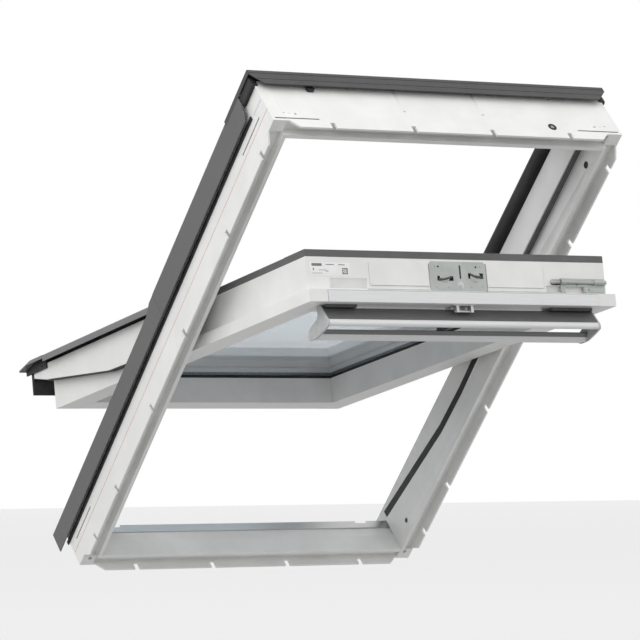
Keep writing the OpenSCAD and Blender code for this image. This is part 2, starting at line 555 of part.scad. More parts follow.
// ---------------------------------------------------------------- placing
oy = 30;                             // the part's origin lies on the underside of the bottom member
module roof() rotate([90 - roof_pitch, 0, 0]) translate([0, -oy, 0]) children();
module swing() roof() translate([0, py, pz]) rotate([sash_open, 0, 0]) translate([0, -py, -pz]) children();

roof() frame_left_member();
roof() frame_right_member();
roof() frame_top_member();
roof() frame_bottom_member();
roof() frame_gasket_upper_left();
roof() frame_gasket_upper_right();
roof() frame_gasket_top();
roof() frame_gasket_lower_left();
roof() frame_gasket_lower_right();
roof() frame_gasket_bottom();
roof() frame_edge_strip_left();
roof() frame_edge_strip_right();
roof() frame_cover_upper_left();
roof() frame_cover_upper_right();
roof() frame_cover_top();
roof() frame_cover_lower_left();
roof() frame_cover_lower_right();
roof() frame_cover_bottom();
roof() hinge_frame_left();
roof() hinge_frame_right();
roof() hinge_cap_left();
roof() hinge_cap_right();
roof() strike_plate();
roof() bolt_socket();
swing() sash_left_rail();
swing() sash_right_rail();
swing() sash_top_rail();
swing() sash_bottom_rail();
swing() glass_inner();
swing() glass_outer();
swing() glass_spacer();
swing() glass_gasket();
swing() sash_cover_upper_left();
swing() sash_cover_upper_right();
swing() sash_cover_top();
swing() sash_cover_lower_left();
swing() sash_cover_lower_right();
swing() sash_cover_bottom();
swing() sash_skirt();
swing() sash_cover_end_left();
swing() sash_cover_end_right();
swing() hinge_sash_left();
swing() hinge_sash_right();
swing() vent_panel_left();
swing() vent_panel_right();
swing() lock_case();
swing() bolt_body();
swing() vent_flap();
swing() control_bar();
swing() control_bar_grip();
swing() control_bar_cap_left();
swing() control_bar_cap_right();
swing() control_bar_web();
swing() bar_foot_left();
swing() bar_foot_right();
swing() flap_link();
swing() latch_hook_left();
swing() latch_hook_right();
swing() bolt_rod();
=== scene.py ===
# %% [markdown]
# # A centre-pivot roof window
# A roof window of this kind is a white frame with dark metal covers outside, and a glazed sash that swings on
# two pivots half way up its sides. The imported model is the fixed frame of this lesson: every piece already
# lies where it belongs, in metres. Here it gets its finishes, its softened edges, its small fittings, the
# light and the camera.

import json
import math

import bmesh
import bpy
import numpy as np
from mathutils import Matrix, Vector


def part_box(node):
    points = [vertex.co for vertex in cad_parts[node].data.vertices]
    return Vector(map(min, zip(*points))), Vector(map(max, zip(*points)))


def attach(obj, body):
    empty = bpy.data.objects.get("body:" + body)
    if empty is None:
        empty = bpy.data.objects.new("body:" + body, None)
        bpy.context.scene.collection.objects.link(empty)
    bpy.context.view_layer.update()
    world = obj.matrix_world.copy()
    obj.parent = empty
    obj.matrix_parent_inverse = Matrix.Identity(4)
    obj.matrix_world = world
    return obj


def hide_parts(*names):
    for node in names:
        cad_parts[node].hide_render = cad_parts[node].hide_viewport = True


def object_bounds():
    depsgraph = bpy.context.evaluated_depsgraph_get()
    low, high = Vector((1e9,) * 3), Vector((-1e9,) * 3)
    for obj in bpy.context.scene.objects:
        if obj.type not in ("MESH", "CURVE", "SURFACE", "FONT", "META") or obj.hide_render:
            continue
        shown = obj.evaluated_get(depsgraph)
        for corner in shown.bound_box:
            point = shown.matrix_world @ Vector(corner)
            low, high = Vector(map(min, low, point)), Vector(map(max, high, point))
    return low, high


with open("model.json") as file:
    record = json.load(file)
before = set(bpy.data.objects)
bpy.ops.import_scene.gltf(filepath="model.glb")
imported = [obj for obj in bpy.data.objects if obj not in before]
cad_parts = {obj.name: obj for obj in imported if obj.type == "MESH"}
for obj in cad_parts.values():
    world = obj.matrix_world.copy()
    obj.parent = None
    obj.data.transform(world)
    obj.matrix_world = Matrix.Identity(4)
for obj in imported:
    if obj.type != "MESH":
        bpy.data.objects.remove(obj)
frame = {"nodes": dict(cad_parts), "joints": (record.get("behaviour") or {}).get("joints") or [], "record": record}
cad_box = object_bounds()
nodes = frame["nodes"]
record = frame["record"]
body_of_node = {n: b for b, names in record["behaviour"]["bodies"].items() for n in names}
slot_of_node = {s["node"]: s["material_slot"] for s in record["subparts"]}
print("CAD box", [[round(v, 3) for v in corner] for corner in cad_box], len(nodes), "nodes")

# %% [markdown]
# The window leans back to the roof pitch, and its sash is swung open on two side pivots. Two small
# functions turn the window's own directions into the model's: across, outwards through the roof, and up
# the slope. The pitch comes from the face the window rests on, and the swing from its pivot joint, so
# every fitting below is placed in plain millimetres on the closed window.

# %% Directions of the frame and of the sash
sill = next(m for m in record["mounts"] if m["name"] == "sill_face")
SLOPE = -np.array(sill["axis"], float)
ACROSS = np.array([1.0, 0.0, 0.0])
OUT = np.cross(SLOPE, ACROSS)
FRAME_ZERO = np.array(sill["pos_m"], float) - 0.030 * OUT
pivot_joint = next(j for j in frame["joints"] if j["name"] == "sash_pivot")
PIVOT = np.array(pivot_joint["pos_m"], float)
OPEN = -math.radians(pivot_joint["range_deg"][0])


def turn_x(v, angle):
    """Turns points about the X axis: y and z mix by the cosine and sine of the angle, x stays."""
    c, s = math.cos(angle), math.sin(angle)
    return np.stack([v[..., 0], c * v[..., 1] - s * v[..., 2], s * v[..., 1] + c * v[..., 2]], -1)


def on_frame(p):
    """Millimetres across, outwards and up the slope, as places in the model: zero plus each times its direction."""
    p = np.asarray(p, float) * 0.001
    return FRAME_ZERO + p[..., :1] * ACROSS + p[..., 1:2] * OUT + p[..., 2:3] * SLOPE


def on_sash(p):
    """The same for the sash: a point of the closed window, swung about the pivots by the open angle."""
    return PIVOT + turn_x(on_frame(p) - PIVOT, OPEN)


PLACE = {"frame": on_frame, "sash": on_sash, "vent": on_sash, "latch": on_sash, "bolt": on_sash}
print("pitch", round(math.degrees(math.asin(SLOPE[2])), 2), "open", round(math.degrees(OPEN), 2))

# %% [markdown]
# The main sizes of the window in millimetres: its height, the end face of the sash's top rail, the line of
# the control bar and half its length, and the line of the bolt.

# %% Sizes
HEIGHT = 1178.0
END_FACE = 1117.5
BAR_Z, BAR_HALF = 1102.5, 300.0
BOLT_Y, BOLT_Z = 71.0, END_FACE + 4.9
half_wide = max(abs(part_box("frame_left_member")[0][0]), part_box("frame_right_member")[1][0])
print("half width measured", round(1000 * half_wide, 1), "mm")

# %% [markdown]
# The camera comes early, because it decides what has to be good. A long lens from a little below the middle
# of the window keeps its edges nearly parallel, as in a catalogue picture.

# %% Camera
CAM_TURN, CAM_LIFT, CAM_ROLL = math.radians(29.765), math.radians(2.603), math.radians(-0.711)
CAM_AT = np.array([-3.82158, -7.01851, 0.11817])


def camera_axes(turn, lift, roll):
    """Right, up and forward of a camera turned about Z, lifted, and rolled about its own line of sight."""
    forward = np.array([math.sin(turn) * math.cos(lift), math.cos(turn) * math.cos(lift), math.sin(lift)])
    right = np.array([math.cos(turn), -math.sin(turn), 0.0])
    up = np.cross(right, forward)
    c, s = math.cos(roll), math.sin(roll)
    return c * right + s * up, c * up - s * right, forward


def make_camera():
    """The camera's matrix has right, up and backward as its columns, and its place as the last one."""
    right, up, forward = camera_axes(CAM_TURN, CAM_LIFT, CAM_ROLL)
    lens = bpy.data.cameras.new("camera")
    lens.lens, lens.sensor_width, lens.clip_end = 214.69, 36.0, 500.0
    camera = bpy.data.objects.new("camera", lens)
    bpy.context.collection.objects.link(camera)
    columns = np.eye(4)
    columns[:3, 0], columns[:3, 1], columns[:3, 2], columns[:3, 3] = right, up, -forward, CAM_AT
    camera.matrix_world = Matrix(columns.tolist())
    bpy.context.scene.camera = camera


make_camera()
print("camera", round(float(np.linalg.norm(CAM_AT)), 2), "m from the origin")

# %% [markdown]
# ## Finishes
# Real surfaces vary a little: lacquer has a fine orange-peel skin and faint clouds, rolled or extruded
# aluminium has lines along its length, and dust settles on whatever faces the sky. Each of these is one
# shader node group, built once with named sockets and used by several materials with its own values.
# The patterns read Object coordinates in metres, so they keep their real scale on every piece.

# %% Helpers for node trees
def new_group(name, inputs, outputs):
    """A shader node group with its sockets: (name, kind, default) in, (name, kind) out."""
    group = bpy.data.node_groups.new(name, "ShaderNodeTree")
    for title, kind, value in inputs:
        socket = group.interface.new_socket(title, in_out="INPUT", socket_type=kind)
        if value is not None:
            socket.default_value = value
    for title, kind in outputs:
        group.interface.new_socket(title, in_out="OUTPUT", socket_type=kind)
    return group, group.nodes.new("NodeGroupInput"), group.nodes.new("NodeGroupOutput")


def add(tree, kind, **settings):
    """A node of that kind, with its plain settings set."""
    node = tree.nodes.new(kind)
    for key, value in settings.items():
        setattr(node, key, value)
    return node


def math_node(tree, operation, a, b=None, clamp=False):
    """One Math node. a and b are sockets or numbers."""
    node = add(tree, "ShaderNodeMath", operation=operation, use_clamp=clamp)
    for k, value in enumerate((a, b)):
        if isinstance(value, (int, float)):
            node.inputs[k].default_value = value
        elif value is not None:
            tree.links.new(value, node.inputs[k])
    return node.outputs[0]


def noise(tree, vector, scale, detail=3.0, roughness=0.5):
    """Noise value, about 0.5 on average, whose features are about 1 / scale metres across."""
    node = add(tree, "ShaderNodeTexNoise")
    tree.links.new(vector, node.inputs["Vector"])
    if isinstance(scale, (int, float)):
        node.inputs["Scale"].default_value = scale
    else:
        tree.links.new(scale, node.inputs["Scale"])
    node.inputs["Detail"].default_value = detail
    node.inputs["Roughness"].default_value = roughness
    return node.outputs["Fac"]


print("helpers ready")

# %% [markdown]
# **Clouded skin**: slow clouds a few centimetres wide for the tone, and a fine skin about a millimetre wide
# for the height. **Drawn lines**: the same noise stretched sixty times along X, the direction in which the
# long profiles were drawn. **Settled dust**: how far a surface faces up, broken up by noise.

# %% Shared effects
def clouded_skin():
    """Tone = cloud noise; Height = fine noise plus a quarter of coarser noise."""
    g, i, o = new_group("clouded_skin", [("Vector", "NodeSocketVector", None), ("Cloud Scale", "NodeSocketFloat", 14.0),
        ("Skin Scale", "NodeSocketFloat", 650.0)], [("Tone", "NodeSocketFloat"), ("Height", "NodeSocketFloat")])
    cloud = noise(g, i.outputs["Vector"], i.outputs["Cloud Scale"], 4.0, 0.55)
    skin = noise(g, i.outputs["Vector"], i.outputs["Skin Scale"], 2.0, 0.5)
    coarse = noise(g, i.outputs["Vector"], 120.0, 2.0, 0.5)
    g.links.new(cloud, o.inputs["Tone"])
    g.links.new(math_node(g, "ADD", skin, math_node(g, "MULTIPLY", coarse, 0.25)), o.inputs["Height"])
    return g


def drawn_lines():
    """Noise on coordinates scaled by (1, 60, 60), which leaves lines that run along X."""
    g, i, o = new_group("drawn_lines", [("Vector", "NodeSocketVector", None), ("Line Scale", "NodeSocketFloat", 22.0)],
        [("Tone", "NodeSocketFloat"), ("Height", "NodeSocketFloat")])
    stretch = add(g, "ShaderNodeVectorMath", operation="MULTIPLY")
    g.links.new(i.outputs["Vector"], stretch.inputs[0])
    stretch.inputs[1].default_value = (1.0, 60.0, 60.0)
    lines = noise(g, stretch.outputs[0], i.outputs["Line Scale"], 5.0, 0.65)
    g.links.new(lines, o.inputs["Tone"])
    g.links.new(lines, o.inputs["Height"])
    return g


def settled_dust():
    """Mask = upward part of the normal, times patchy noise, times the amount."""
    g, i, o = new_group("settled_dust", [("Vector", "NodeSocketVector", None), ("Amount", "NodeSocketFloat", 0.3)],
        [("Mask", "NodeSocketFloat")])
    axes = add(g, "ShaderNodeSeparateXYZ")
    g.links.new(add(g, "ShaderNodeNewGeometry").outputs["Normal"], axes.inputs[0])
    up = math_node(g, "MAXIMUM", axes.outputs["Z"], 0.0)
    patchy = noise(g, i.outputs["Vector"], 60.0, 5.0, 0.6)
    patches = math_node(g, "SUBTRACT", math_node(g, "MULTIPLY", patchy, 2.4), 0.7)
    mask = math_node(g, "MULTIPLY", math_node(g, "MULTIPLY", up, patches), i.outputs["Amount"], clamp=True)
    g.links.new(mask, o.inputs["Mask"])
    return g


EFFECTS = {"skin": clouded_skin(), "lines": drawn_lines(), "dust": settled_dust()}
print("effects", [g.name for g in EFFECTS.values()])

# %% [markdown]
# One function makes every opaque finish, because they differ only in values: two colours that the pattern
# blends, a range of roughness, how tall the skin is, and how much dust shows. Metallic, coat and IOR are the
# same all over a surface, so they are set on the shader itself.

# %% The finish maker
def finish(name, dark, light, rough, pattern="skin", scales=(14.0, 650.0), bump=0.1, metal=0.0, coat=0.0, dust=0.0):
    """Colour = dark to light by the pattern's tone; roughness likewise; bump from its height in tenths of a mm."""
    m = bpy.data.materials.new(name)
    m.use_nodes = True
    tree = m.node_tree
    shader = tree.nodes["Principled BSDF"]
    shader.inputs["Metallic"].default_value = metal
    shader.inputs["Coat Weight"].default_value = coat
    shader.inputs["Coat Roughness"].default_value = 0.15
    place = add(tree, "ShaderNodeTexCoord").outputs["Object"]
    surface = add(tree, "ShaderNodeGroup", node_tree=EFFECTS[pattern])
    tree.links.new(place, surface.inputs["Vector"])
    for socket, value in zip(list(surface.inputs)[1:], scales):
        socket.default_value = value
    spread = add(tree, "ShaderNodeMapRange", interpolation_type="SMOOTHSTEP")
    tree.links.new(surface.outputs["Tone"], spread.inputs["Value"])
    spread.inputs["From Min"].default_value, spread.inputs["From Max"].default_value = 0.3, 0.7
    colour = add(tree, "ShaderNodeMix", data_type="RGBA")
    tree.links.new(spread.outputs["Result"], colour.inputs["Factor"])
    colour.inputs["A"].default_value, colour.inputs["B"].default_value = (*dark, 1), (*light, 1)
    last = colour.outputs["Result"]
    roughness = add(tree, "ShaderNodeMapRange")
    tree.links.new(spread.outputs["Result"], roughness.inputs["Value"])
    roughness.inputs["To Min"].default_value, roughness.inputs["To Max"].default_value = rough
    rough_out = roughness.outputs["Result"]
    if dust:
        film = add(tree, "ShaderNodeGroup", node_tree=EFFECTS["dust"])
        tree.links.new(place, film.inputs["Vector"])
        film.inputs["Amount"].default_value = dust
        over = add(tree, "ShaderNodeMix", data_type="RGBA")
        tree.links.new(film.outputs["Mask"], over.inputs["Factor"])
        tree.links.new(last, over.inputs["A"])
        over.inputs["B"].default_value = (0.55, 0.53, 0.5, 1)
        last = over.outputs["Result"]
        dulled = math_node(tree, "MULTIPLY", film.outputs["Mask"], 0.3)
        rough_out = math_node(tree, "ADD", rough_out, dulled, clamp=True)
    tree.links.new(last, shader.inputs["Base Color"])
    tree.links.new(rough_out, shader.inputs["Roughness"])
    bumps = add(tree, "ShaderNodeBump")
    bumps.inputs["Strength"].default_value = bump
    bumps.inputs["Distance"].default_value = 0.0001
    tree.links.new(surface.outputs["Height"], bumps.inputs["Height"])
    tree.links.new(bumps.outputs["Normal"], shader.inputs["Normal"])
    return m


print("finish maker ready")

# %% [markdown]
# The window's finishes. The moulded body is a satin white lacquer, the covers are matt dark grey lacquer on
# thin aluminium, the seals are black rubber, and the fittings are zinc-plated with a slight green cast. The
# control bar is satin anodised aluminium, with moulded grey ends and dark moulded feet. A few nodes take another
# copy of their finish. The top cover takes a darker copy of the cover finish, a painted shade, and the sash's lower
# covers a lighter one, painted light. The upper seals are grey bands with black ribs. The flap is a lighter silver,
# which the bar's nose and grip share as a painted highlight, while the bar's web takes a darker painted shade.

# %% Opaque finishes
FINISHES = {
    "body_lacquer": finish("body_lacquer", (0.79, 0.79, 0.775), (0.85, 0.85, 0.84), (0.34, 0.44), bump=0.35, coat=0.15,
                           dust=0.04),
    "cover_aluminium": finish("cover_aluminium", (0.105, 0.105, 0.106), (0.135, 0.135, 0.136), (0.4, 0.52),
                              scales=(9.0, 1300.0), bump=0.9, metal=0.2, dust=0.10),
    "rubber": finish("rubber", (0.012, 0.012, 0.013), (0.028, 0.028, 0.029), (0.5, 0.68), scales=(45.0, 900.0),
                     bump=0.8),
    "zinc_steel": finish("zinc_steel", (0.42, 0.445, 0.43), (0.49, 0.515, 0.50), (0.32, 0.42), scales=(34.0, 1600.0),
                         bump=0.35, metal=0.7),
    "dark_steel": finish("dark_steel", (0.05, 0.055, 0.055), (0.16, 0.165, 0.165), (0.28, 0.42), scales=(160.0, 1500.0),
                         bump=0.5, metal=0.7),
    "satin_aluminium": finish("satin_aluminium", (0.5, 0.505, 0.505), (0.66, 0.665, 0.665), (0.28, 0.4),
                              pattern="lines", scales=(22.0,), bump=0.25, metal=0.9),
    "grey_plastic": finish("grey_plastic", (0.46, 0.47, 0.47), (0.54, 0.55, 0.55), (0.42, 0.55), scales=(60.0, 1500.0),
                           bump=1.2),
    "dark_plastic": finish("dark_plastic", (0.05, 0.052, 0.054), (0.085, 0.087, 0.09), (0.42, 0.56),
                           scales=(70.0, 1500.0), bump=1.2),
}
# A lighter silver for the flap; on the control bar's nose and grip the same lighter silver is a painted highlight.
silver_and_painted_highlight = finish("silver_and_painted_highlight", (0.72, 0.725, 0.73), (0.80, 0.805, 0.81), (0.34, 0.46), pattern="lines",
                     scales=(16.0,), bump=0.2, metal=0.3)
# Painted shade: a darker copy of the cover finish, for the top cover.
cover_painted_shade = finish("cover_painted_shade", (0.05, 0.05, 0.051), (0.07, 0.07, 0.071), (0.42, 0.54), scales=(9.0, 1300.0),
                    bump=0.9, metal=0.2, dust=0.04)
# Painted light: a lighter copy of the cover finish, for the sash's lower covers and the latch plates.
cover_painted_light = finish("cover_painted_light", (0.18, 0.18, 0.182), (0.225, 0.225, 0.228), (0.4, 0.52), scales=(9.0, 1300.0),
                     bump=0.9, metal=0.2, dust=0.08)
# Painted shade: a darker copy of the bar's aluminium, for the web of the bar.
bar_painted_shade = finish("bar_painted_shade", (0.17, 0.17, 0.172), (0.23, 0.23, 0.232), (0.36, 0.46), pattern="lines", scales=(18.0,),
                   bump=0.2, metal=0.5)
seal_grey = finish("seal_grey", (0.20, 0.20, 0.205), (0.27, 0.27, 0.275), (0.5, 0.66), scales=(40.0, 900.0), bump=0.8)
line_red = finish("line_red", (0.62, 0.16, 0.10), (0.74, 0.24, 0.16), (0.5, 0.6), scales=(90.0, 900.0), bump=0.3)
line_blue = finish("line_blue", (0.20, 0.20, 0.46), (0.30, 0.30, 0.56), (0.5, 0.6), scales=(90.0, 900.0), bump=0.3)
paper_white = finish("paper_white", (0.84, 0.84, 0.84), (0.88, 0.88, 0.88), (0.5, 0.6), scales=(50.0, 2200.0), bump=0.3)
print_grey = finish("print_grey", (0.16, 0.16, 0.17), (0.24, 0.24, 0.25), (0.5, 0.62), scales=(400.0, 2200.0), bump=0.3)
print(len(FINISHES), "finishes from the record, 4 shades of them, and 4 for thin inlays")

# %% [markdown]
# Float glass is clear with a faint blue-green body. Its Metallic and Transmission Weight stay plain numbers.
# What varies is a very slight waviness of the surface, and its colour and roughness, a little, by slow clouds.

# %% Glass
def make_glass():
    """Clear shader: base colour pale blue by slow clouds, and a bump of long soft waves a hundredth of a mm deep."""
    m = bpy.data.materials.new("glass")
    m.use_nodes = True
    tree = m.node_tree
    shader = tree.nodes["Principled BSDF"]
    shader.inputs["Metallic"].default_value = 0.0
    shader.inputs["Transmission Weight"].default_value = 1.0
    shader.inputs["IOR"].default_value = 1.5
    place = add(tree, "ShaderNodeTexCoord").outputs["Object"]
    surface = add(tree, "ShaderNodeGroup", node_tree=EFFECTS["skin"])
    tree.links.new(place, surface.inputs["Vector"])
    surface.inputs["Cloud Scale"].default_value, surface.inputs["Skin Scale"].default_value = 3.0, 6.0
    colour = add(tree, "ShaderNodeMix", data_type="RGBA")
    tree.links.new(surface.outputs["Tone"], colour.inputs["Factor"])
    colour.inputs["A"].default_value, colour.inputs["B"].default_value = (0.86, 0.92, 0.96, 1), (0.9, 0.95, 0.985, 1)
    tree.links.new(colour.outputs["Result"], shader.inputs["Base Color"])
    rough = add(tree, "ShaderNodeMapRange")
    tree.links.new(surface.outputs["Tone"], rough.inputs["Value"])
    rough.inputs["To Min"].default_value, rough.inputs["To Max"].default_value = 0.0, 0.03
    tree.links.new(rough.outputs["Result"], shader.inputs["Roughness"])
    bumps = add(tree, "ShaderNodeBump")
    bumps.inputs["Strength"].default_value, bumps.inputs["Distance"].default_value = 0.05, 0.0001
    tree.links.new(surface.outputs["Height"], bumps.inputs["Height"])
    tree.links.new(bumps.outputs["Normal"], shader.inputs["Normal"])
    return m


FINISHES["glass"] = make_glass()
# Nodes that take another copy of their finish; the two cover copies are painted shade and painted light.
SHADES = {"vent_flap": silver_and_painted_highlight, "frame_cover_top": cover_painted_shade, "sash_cover_bottom": cover_painted_light,
          "sash_cover_lower_left": cover_painted_light, "sash_cover_lower_right": cover_painted_light,
          "frame_gasket_upper_left": seal_grey, "frame_gasket_upper_right": seal_grey}
for name, ob in nodes.items():
    ob.data.materials.clear()
    ob.data.materials.append(SHADES.get(name, FINISHES[slot_of_node[name]]))
print("finishes given to", len(nodes), "nodes")

# %% [markdown]
# ## Softened edges
# A moulded or folded edge is never perfectly sharp: a thin line of light runs along it. A copy of each rigid
# node is merged into one skin, its flat faces are joined, and a Bevel modifier rounds every edge that turns by
# more than 25 degrees. The copy stands for the node; the seals and the glass keep the node's own mesh.

# %% Rounded copies of the rigid nodes
EDGE_MM = {"body_lacquer": 1.1, "cover_aluminium": 0.5, "zinc_steel": 0.4, "dark_steel": 0.6, "satin_aluminium": 0.5,
           "grey_plastic": 0.8, "dark_plastic": 0.6}
OWN_SHAPE = {"control_bar", "control_bar_grip", "latch_hook_left", "latch_hook_right", "bolt_rod",
             "control_bar_cap_left", "control_bar_cap_right", "glass_spacer"}


def soften(name, width):
    """Merged copy of a node with a two-segment bevel of that width in millimetres on its sharp edges."""
    me = nodes[name].data.copy()
    bm = bmesh.new()
    bm.from_mesh(me)
    bmesh.ops.remove_doubles(bm, verts=bm.verts, dist=2e-6)
    bmesh.ops.dissolve_limit(bm, angle_limit=math.radians(0.6), verts=bm.verts, edges=bm.edges, delimit={"NORMAL"})
    bm.to_mesh(me)
    bm.free()
    me.shade_smooth()
    me.set_sharp_from_angle(angle=math.radians(14))
    ob = bpy.data.objects.new("soft_" + name, me)
    bpy.context.collection.objects.link(ob)
    bevel = ob.modifiers.new("edges", "BEVEL")
    bevel.width, bevel.segments = 0.001 * width, 2
    bevel.limit_method, bevel.angle_limit = "ANGLE", math.radians(25)
    bevel.harden_normals = True
    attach(ob, body_of_node[name])
    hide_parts(name)
    return ob


softened = [soften(n, EDGE_MM[slot_of_node[n]]) for n in nodes if slot_of_node[n] in EDGE_MM and n not in OWN_SHAPE]
print(len(softened), "nodes softened")

# %% [markdown]
# ## A maker for small fittings
# Screws, plates, pins and bars are all one idea: a ring of points carried from one end to the other, with a
# flat face closing each end. Only the rings differ. The maker below joins rings into a skin, and the
# functions after it work out the rings as whole arrays.

# %% From rings to a piece
def skin(rings):
    """Rings (n, m, 3): quads join point j of ring i to point j + 1 of ring i + 1, and the end rings are faces."""
    rings = np.asarray(rings, float)
    n, m = rings.shape[:2]
    i, j = np.meshgrid(np.arange(n - 1), np.arange(m), indexing="ij")
    k = (j + 1) % m
    quads = np.stack([i * m + j, i * m + k, (i + 1) * m + k, (i + 1) * m + j], -1).reshape(-1, 4)
    ends = [np.arange(m)[::-1], np.arange(m) + (n - 1) * m]
    return rings.reshape(-1, 3), [q.tolist() for q in quads] + [e.tolist() for e in ends]


def piece(name, skins, material, body, stands_for=(), sharp=32):
    """Puts skins given in millimetres on the closed window into one mesh in the model, and lets it ride."""
    verts, faces, base = [], [], 0
    for v, f in skins:
        verts.append(v)
        faces += [[q + base for q in face] for face in f]
        base += len(v)
    me = bpy.data.meshes.new(name)
    me.from_pydata(PLACE[body](np.concatenate(verts)), [], faces)
    bm = bmesh.new()
    bm.from_mesh(me)
    bmesh.ops.recalc_face_normals(bm, faces=bm.faces)
    bm.to_mesh(me)
    bm.free()
    me.shade_smooth()
    me.set_sharp_from_angle(angle=math.radians(sharp))
    me.materials.append(material)
    ob = bpy.data.objects.new(name, me)
    bpy.context.collection.objects.link(ob)
    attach(ob, body)
    if stands_for:
        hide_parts(*stands_for)
    return ob


def on_axes(u, v, w, at, axes):
    """Points u, v, w along three directions from a place; axes is a word such as 'xyz', w being the height."""
    out = np.zeros(np.broadcast(u, v, w).shape + (3,)) + np.asarray(at, float)
    for value, letter in zip((u, v, w), axes.lower()):
        out[..., "xyz".index(letter)] = out[..., "xyz".index(letter)] + value
    return out


def turned(radii, heights, at, axes="xyz", n=28):
    """A turned piece: at each height a circle of that radius, u = r cos a and v = r sin a."""
    a = np.linspace(0, 2 * np.pi, n, endpoint=False)
    r = np.asarray(radii, float)[:, None]
    return skin(on_axes(r * np.cos(a), r * np.sin(a), np.asarray(heights, float)[:, None] + 0 * a, at, axes))


def slab(size_u, size_v, low, high, corner, edge, at, axes="xyz", n=6):
    """A plate with rounded corners and edges. Its outline is a rectangle with quarter circles of radius corner;
    near each face it is drawn in by edge * (1 - cos t) while its height moves by edge * sin t."""
    a = np.linspace(0, np.pi / 2, n)
    a = np.concatenate([a + q * np.pi / 2 for q in range(4)])
    su = np.repeat([1, -1, -1, 1], n)
    sv = np.repeat([1, 1, -1, -1], n)
    t = np.linspace(0, np.pi / 2, 4)
    inset = np.concatenate([edge * (1 - np.sin(t)), edge * (1 - np.cos(t))])
    height = np.concatenate([low + edge * (1 - np.cos(t)), high - edge * (1 - np.sin(t))])
    r = np.maximum(corner - inset, 0.02)[:, None]
    u = su * (size_u / 2 - corner) + r * np.cos(a)
    v = sv * (size_v / 2 - corner) + r * np.sin(a)
    return skin(on_axes(u, v, height[:, None] + 0 * a, at, axes))


def box_bar(x0, x1, y0, y1, z0, z1, edge=0.08):
    """A slim bar between two corners, as a slab whose height runs along z."""
    return slab(x1 - x0, y1 - y0, z0, z1, min(x1 - x0, y1 - y0) * 0.25, edge,
                ((x0 + x1) / 2, (y0 + y1) / 2, 0), "xyz", 3)


def mirrored(skins):
    """The same skins for the other side of the window: x changes sign."""
    return [(v * np.array([-1.0, 1, 1]), f) for v, f in skins]


def pair(name, skins, material, body, replaced=None):
    """A fitting that both sides have: the right one, and its mirror image."""
    piece(name + "_right", skins, material, body, [replaced + "_right"] if replaced else ())
    piece(name + "_left", mirrored(skins), material, body, [replaced + "_left"] if replaced else ())


print("fitting maker ready")

# %% [markdown]
# ## The control bar
# Along the top of the sash hangs a drawn aluminium bar that opens the vent flap and then the window. Its upper
# wing is one rounded profile and its grip another. A closed smooth curve through the drawing's corner points
# gives the roundness of a drawn section, which a polygon of straight lines can't.

# %% Smooth profiles of the control bar
def smooth_loop(points, per_side=5):
    """Closed Catmull-Rom curve: between two points it blends the four nearest ones with cubic weights."""
    p = np.asarray(points, float)
    t = np.linspace(0, 1, per_side, endpoint=False)[None, :, None]
    a, b, c, d = (np.roll(p, k, 0)[:, None, :] for k in (1, 0, -1, -2))
    q = 0.5 * (2 * b + (c - a) * t + (2 * a - 5 * b + 4 * c - d) * t ** 2 + (3 * b - a - 3 * c + d) * t ** 3)
    return q.reshape(-1, 2)


def carried(profile, stations):
    """A (y, z) profile carried along x: one ring per station, the same profile at each."""
    profile = np.asarray(profile, float)
    x = np.asarray(stations, float)[:, None] + 0 * profile[None, :, 0]
    return skin(np.stack([x, 0 * x + profile[:, 0], 0 * x + profile[:, 1]], -1))


WING = [(14, -5), (16, -5), (16, -1), (16, 4.8), (5, 13.6), (-5, 21.6), (-10, 25.5), (-15, 27.6), (-20, 26.6),
        (-22, 23.4), (-20.5, 20.6), (-14, 21), (-10, 19), (-2, 12), (7, 4), (14, -2.4)]
GRIP = [(-21, -46), (-21, -43), (-31.4, -40), (-33, -33), (-33, -26), (-28, -21), (-21, -16), (-22, -13.2),
        (-29, -18.4), (-35.9, -24), (-36, -33), (-35.9, -42), (-33, -45.9)]


def wing_profile(points):
    """Profile points given from the bar's line, as places on the closed window."""
    return smooth_loop(np.array(points) + np.array([0, BAR_Z]))


def shade_between(ob, profile, low, high, material):
    """Faces of a carried profile whose middle depth lies between low and high take a second finish."""
    ob.data.materials.append(material)
    for face in ob.data.polygons:
        if len(face.vertices) == 4 and low < np.mean([profile[v % len(profile)][0] for v in face.vertices]) < high:
            face.material_index = 1


wing, grip = wing_profile(WING), wing_profile(GRIP)
bar = piece("bar_wing", [carried(wing, np.linspace(-BAR_HALF, BAR_HALF, 9))], silver_and_painted_highlight, "vent",
            ["control_bar"], sharp=50)
# The web of the wing and part of the grip take the painted shade; the rest keeps the lighter silver as a painted
# highlight.
shade_between(bar, wing, -9, 20, bar_painted_shade)
bar = piece("bar_grip", [carried(grip, np.linspace(-BAR_HALF, BAR_HALF, 9))], silver_and_painted_highlight, "vent",
            ["control_bar_grip"], sharp=50)
shade_between(bar, grip, -29, -10, bar_painted_shade)
print("control bar", 2 * BAR_HALF, "mm between its ends")

# %% [markdown]
# Moulded ends close the bar. Each is a plate with the outline of both profiles; its outer face is drawn in
# towards the middle in four steps, so that it is slightly domed like the real moulding.

# %% Moulded ends of the bar
CAP = np.array([(21.9, -8), (21.9, 1), (5, 14), (-9, 26), (-15, 28.9), (-21, 28), (-25, 20), (-30, 5), (-35, -12),
                (-37, -22), (-37, -44), (-32, -48), (-21, -48), (-13, -38), (-6, -22), (-2, -12), (6, -8)])


